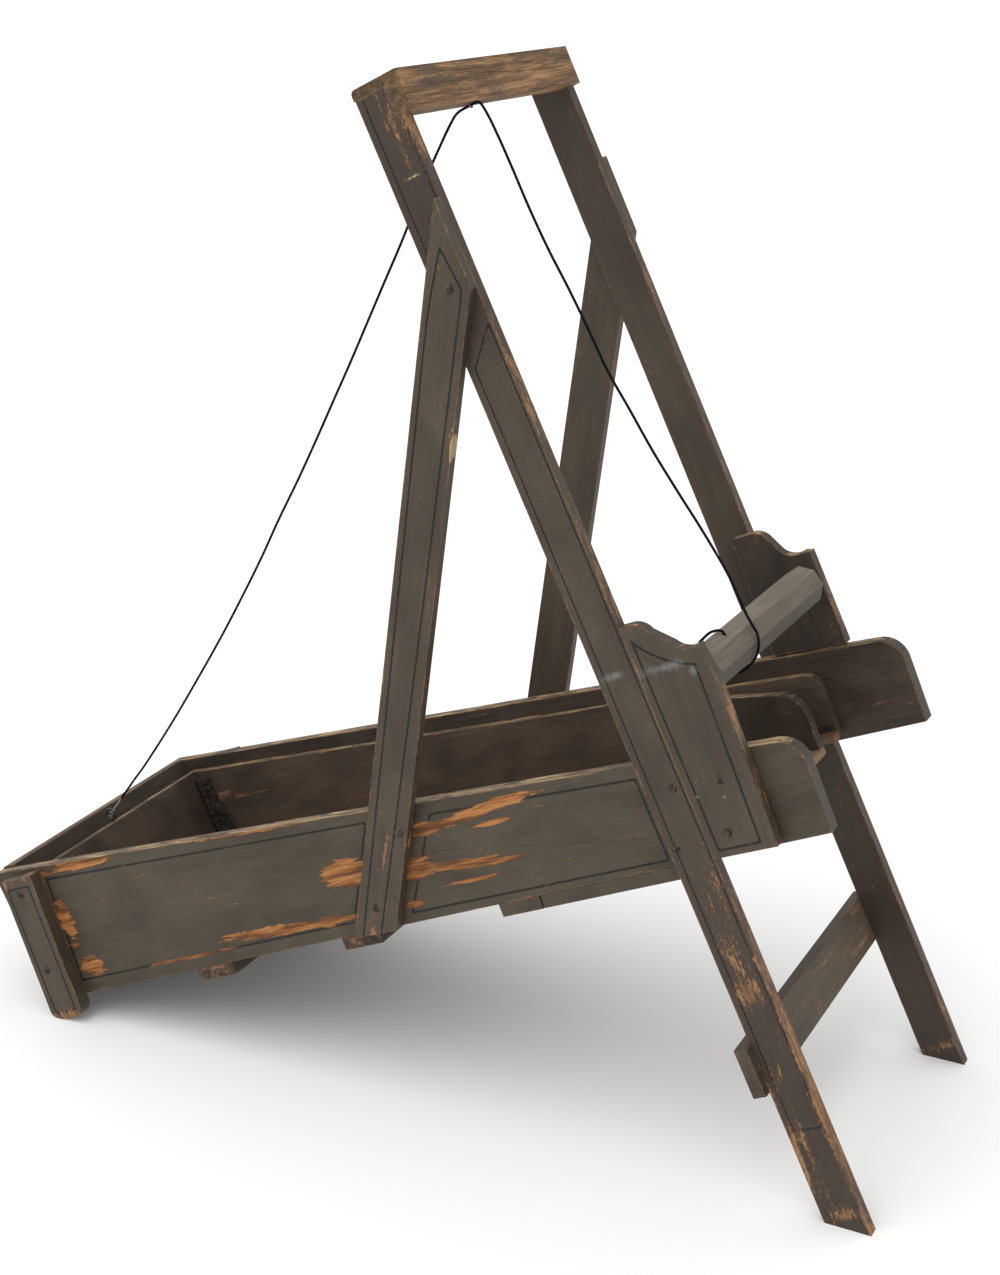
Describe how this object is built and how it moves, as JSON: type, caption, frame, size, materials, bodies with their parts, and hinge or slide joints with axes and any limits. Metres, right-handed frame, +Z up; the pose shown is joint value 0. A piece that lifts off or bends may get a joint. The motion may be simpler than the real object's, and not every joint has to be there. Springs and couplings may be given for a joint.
{
  "type": "seed treater",
  "caption": "Sloping wooden tank on a tall leaning frame, with a tipping inner tray, spout guides and a rope windlass.",
  "frame": {"origin": "middle of the box on the ground", "axes": "+X points to the discharge end, +Y to the far side, +Z up"},
  "size_m": [0.7524, 0.3044, 0.7536],
  "materials": {
    "paint": "old olive-drab paint with dark pinstripes, worn to bare wood at the edges",
    "tank_wood": "dark brown-grey stained wood",
    "worn_paint": "brown wood with remnants of grey paint",
    "tray_wood": "very dark brown soaked wood with worn rims",
    "bare_wood": "whittled bare wood, pale grey-brown",
    "steel": "dull dark steel wire",
    "screw_paint": "slotted screw heads painted over",
    "rope": "black braided cord"
  },
  "bodies": {
    "frame": {"tank_wall_near": "paint", "tank_wall_far": "paint", "foot_cleat_near": "paint", "foot_cleat_far": "paint", "stringer_near": "paint", "stringer_far": "paint", "brace_near": "paint", "brace_far": "paint", "ear_near": "paint", "ear_far": "paint", "tank_end_board": "tank_wood", "tank_floor": "tank_wood", "batten_low": "tank_wood", "batten_middle": "tank_wood", "batten_high": "tank_wood", "bottom_board": "tank_wood", "top_rail": "worn_paint", "cap_board": "worn_paint", "lower_crossbar": "worn_paint", "pivot_pins": "steel", "rail_staple": "steel", "rope_lift": "rope", "rope_fall": "rope", "cleat_screws": "screw_paint", "brace_screws": "screw_paint", "stringer_screws": "screw_paint", "ear_screws": "screw_paint"},
    "tray": {"tray_floor": "tray_wood", "tray_wall_near": "tray_wood", "tray_wall_far": "tray_wood", "tray_end_wall": "tray_wood", "spout_guide_near": "tray_wood", "spout_guide_far": "tray_wood", "tray_eye": "steel", "rope_link": "steel"},
    "windlass": {"windlass_roller": "bare_wood", "rope_wraps": "rope"}
  },
  "joints": [
    {"name": "tray_tilt", "type": "hinge", "parent": "frame", "child": "tray", "pos_m": [0.25537, 0, 0.26827], "axis": [0, 1, 0], "range_deg": [0, 40], "deforming": ["rope_lift"]},
    {"name": "windlass_turn", "type": "hinge", "parent": "frame", "child": "windlass", "pos_m": [0.23118, 0, 0.37942], "axis": [0, 1, 0], "range_deg": [0, 1160], "deforming": ["rope_wraps"]}
  ],
  "couplings": [
    {"joint": "windlass_turn", "follows": "tray_tilt", "ratio": 29}
  ]
}
